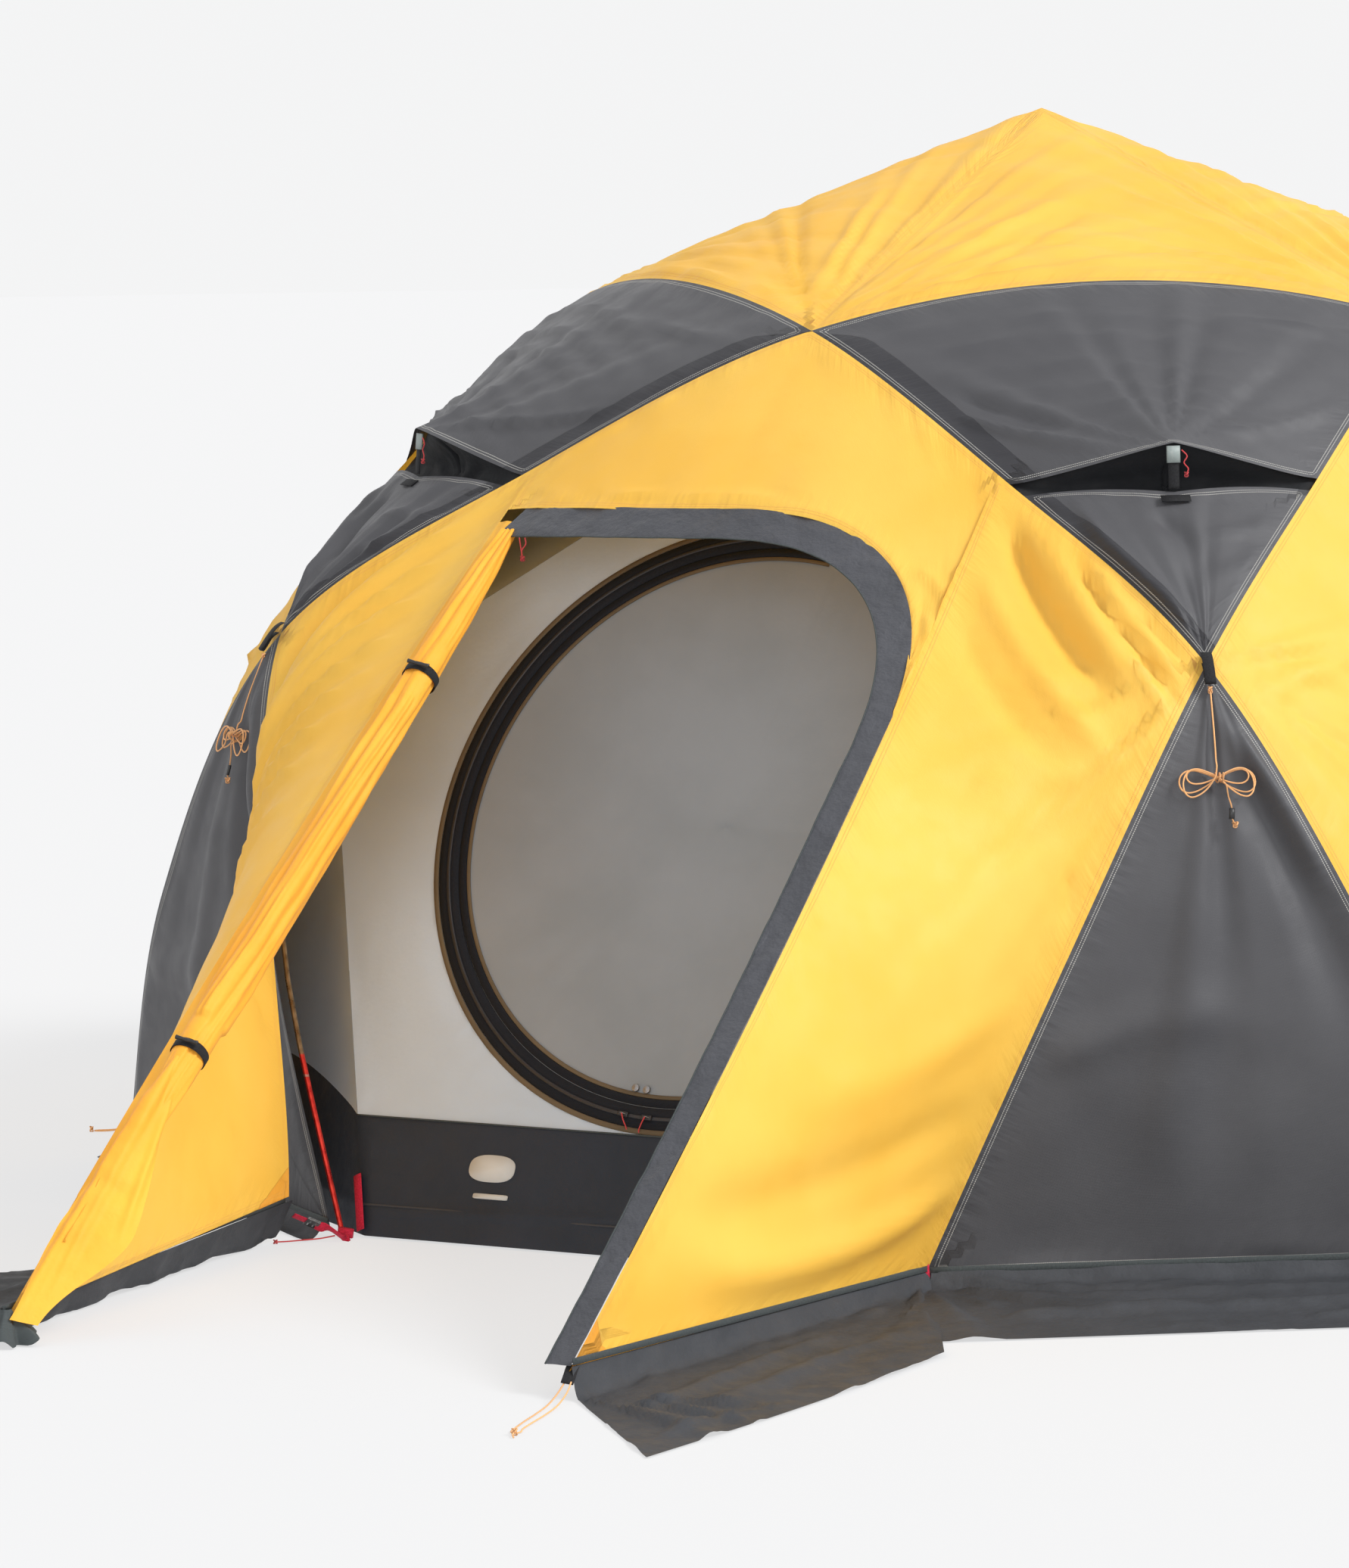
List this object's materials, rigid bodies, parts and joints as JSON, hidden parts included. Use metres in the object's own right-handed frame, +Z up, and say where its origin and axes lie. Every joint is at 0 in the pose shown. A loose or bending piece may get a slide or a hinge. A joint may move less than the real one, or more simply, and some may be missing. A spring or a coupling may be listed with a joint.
{
  "type": "dome tent",
  "caption": "Geodesic dome tent on five woven poles, with a peaked fly, vents under propped hoods, a front vestibule and a round inner door.",
  "frame": {"origin": "on the ground at the centre of the floor, at the floor's underside", "axes": "+Z up, -Y towards the vestibule door, +Y towards the back, +X to the right of someone who faces the back from the door"},
  "size_m": [4.5594, 5.816, 2.145],
  "materials": {
    "pole_metal": "anodised bronze tube with red lower sections",
    "fly_yellow": "coated ripstop, slight sheen",
    "fly_grey": "coated ripstop, slight sheen",
    "flap_grey": "coated cloth, creased",
    "inner_wall": "breathable cloth, matt",
    "door_cloth": "fine woven door cloth, matt",
    "tub_cloth": "heavy coated floor cloth",
    "zip_black": "coil zip and tape",
    "plastic_black": "moulded, matt",
    "webbing_red": "woven webbing",
    "cord_orange": "braided cord"
  },
  "bodies": {
    "root": {"pole_1": "pole_metal", "pole_2": "pole_metal", "pole_3": "pole_metal", "pole_4": "pole_metal", "pole_5": "pole_metal", "peak_frame": "pole_metal", "roof_cap": "fly_yellow", "side_panel_1": "fly_yellow", "side_panel_2": "fly_yellow", "side_panel_3": "fly_yellow", "side_panel_4": "fly_yellow", "front_brow": "fly_yellow", "front_side_right": "fly_yellow", "front_side_left": "fly_yellow", "rolled_door": "fly_yellow", "vent_hood_1": "fly_grey", "vent_hood_2": "fly_grey", "vent_hood_3": "fly_grey", "vent_hood_4": "fly_grey", "vent_hood_5": "fly_grey", "vent_sill_1": "fly_grey", "vent_sill_2": "fly_grey", "vent_sill_3": "fly_grey", "vent_sill_4": "fly_grey", "vent_sill_5": "fly_grey", "corner_panel_1": "fly_grey", "corner_panel_2": "fly_grey", "corner_panel_3": "fly_grey", "corner_panel_4": "fly_grey", "corner_panel_5": "fly_grey", "door_band": "fly_grey", "snow_flap_right": "flap_grey", "snow_flap_back": "flap_grey", "snow_flap_left": "flap_grey", "snow_flap_front_right": "flap_grey", "snow_flap_front_left": "flap_grey", "inner_front_wall": "inner_wall", "inner_canopy": "inner_wall", "floor_tub": "tub_cloth", "door_zip": "zip_black", "door_tie_1": "plastic_black", "door_tie_2": "plastic_black", "foot_strap": "webbing_red", "guyline_right": "cord_orange", "guyline_left": "cord_orange", "guyline_right_hank": "cord_orange", "guyline_left_hank": "cord_orange", "stake_loop_right": "cord_orange", "stake_loop_left": "cord_orange"},
    "inner_door_body": {"inner_door": "door_cloth"},
    "zip_slider_left": {"zip_slider_1": "zip_black"},
    "zip_slider_right": {"zip_slider_2": "zip_black"},
    "vent_strut_body_1": {"vent_strut_1": "plastic_black"},
    "vent_strut_body_2": {"vent_strut_2": "plastic_black"},
    "vent_strut_body_3": {"vent_strut_3": "plastic_black"},
    "vent_strut_body_4": {"vent_strut_4": "plastic_black"},
    "vent_strut_body_5": {"vent_strut_5": "plastic_black"},
    "door_toggle_upper": {"door_toggle_1": "plastic_black"},
    "door_toggle_lower": {"door_toggle_2": "plastic_black"},
    "buckle": {"ladder_lock": "plastic_black"}
  },
  "joints": [
    {"name": "inner_door_hinge", "type": "hinge", "parent": "root", "child": "inner_door_body", "pos_m": [0.617, -1.40553, 0.78388], "axis": [0, -0.4473, -0.8944], "range_deg": [0, 38]},
    {"name": "zip_slide_left", "type": "hinge", "parent": "root", "child": "zip_slider_left", "pos_m": [0, -1.40777, 0.785], "axis": [0, -0.8944, 0.4473], "range_deg": [-182, 0]},
    {"name": "zip_slide_right", "type": "hinge", "parent": "root", "child": "zip_slider_right", "pos_m": [0, -1.40777, 0.785], "axis": [0, -0.8944, 0.4473], "range_deg": [0, 32]},
    {"name": "vent_strut_fold_1", "type": "hinge", "parent": "root", "child": "vent_strut_body_1", "pos_m": [0.82984, -1.14219, 1.51111], "axis": [0.809, 0.5878, 0], "range_deg": [0, 50]},
    {"name": "vent_strut_fold_2", "type": "hinge", "parent": "root", "child": "vent_strut_body_2", "pos_m": [1.34271, 0.43627, 1.51111], "axis": [-0.309, 0.9511, 0], "range_deg": [0, 50]},
    {"name": "vent_strut_fold_3", "type": "hinge", "parent": "root", "child": "vent_strut_body_3", "pos_m": [0, 1.41182, 1.51111], "axis": [-1, 0, 0], "range_deg": [0, 50]},
    {"name": "vent_strut_fold_4", "type": "hinge", "parent": "root", "child": "vent_strut_body_4", "pos_m": [-1.34271, 0.43627, 1.51111], "axis": [-0.309, -0.9511, 0], "range_deg": [0, 50]},
    {"name": "vent_strut_fold_5", "type": "hinge", "parent": "root", "child": "vent_strut_body_5", "pos_m": [-0.82984, -1.14219, 1.51111], "axis": [0.809, -0.5878, 0], "range_deg": [0, 50]},
    {"name": "door_toggle_turn_upper", "type": "hinge", "parent": "root", "child": "door_toggle_upper", "pos_m": [-0.47409, -1.74906, 1.11021], "axis": [0.2635, -0.608, 0.7489], "range_deg": [-60, 60]},
    {"name": "door_toggle_turn_lower", "type": "hinge", "parent": "root", "child": "door_toggle_lower", "pos_m": [-0.50301, -2.53219, 0.48455], "axis": [0.2635, -0.608, 0.7489], "range_deg": [-60, 60]},
    {"name": "buckle_tilt", "type": "hinge", "parent": "root", "child": "buckle", "pos_m": [-0.64897, -1.88923, 0.03804], "axis": [0.7296, -0.4872, 0.48], "range_deg": [0, 40]}
  ]
}
